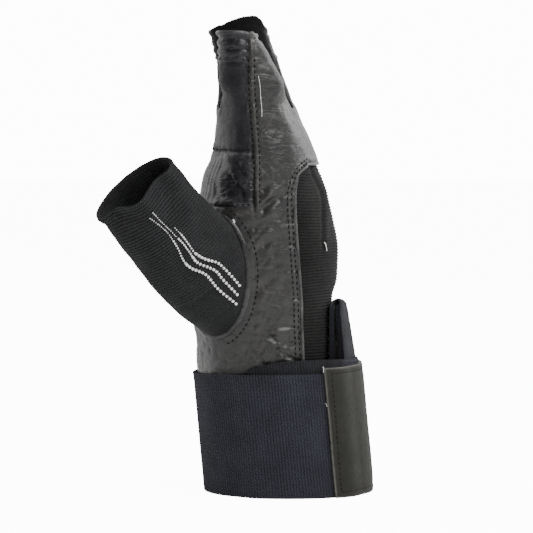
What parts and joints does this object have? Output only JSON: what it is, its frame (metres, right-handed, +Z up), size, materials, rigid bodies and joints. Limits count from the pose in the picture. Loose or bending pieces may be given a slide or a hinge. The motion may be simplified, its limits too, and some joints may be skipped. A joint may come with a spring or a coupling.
{
  "type": "weightlifting glove with wrist wrap",
  "caption": "Right-hand fingerless leather training glove with a knitted thumb and an elastic wrist wrap, standing upright on the wrap's rim.",
  "frame": {"origin": "bottom centre of the glove's bounding box, on the surface that the wrap's lower rim stands on", "axes": "+Z up from the wrist to the fingers, +X the back of the hand, -X the palm, -Y the thumb side, +Y the little finger side"},
  "size_m": [0.121, 0.1106, 0.213],
  "materials": {
    "leather": "black grained leather with a soft gloss",
    "ribbed_knit": "black ribbed stretch knit, matt",
    "elastic": "black woven elastic with fine upright ribs",
    "webbing": "dark blue-black padded webbing",
    "leatherette": "smooth matt charcoal leatherette"
  },
  "bodies": {
    "root": {"hand_leather": "leather", "palm_pad": "leather", "finger_fronts": "leather", "index_cap": "leather", "middle_cap": "leather", "ring_cap": "leather", "little_cap": "leather", "back_knit": "ribbed_knit", "index_middle_gusset": "ribbed_knit", "middle_ring_gusset": "ribbed_knit", "ring_little_gusset": "ribbed_knit", "thumb_stall": "ribbed_knit", "wrist_wrap": "elastic", "pull_loop": "webbing", "closure_tab": "leatherette"}
  },
  "joints": []
}
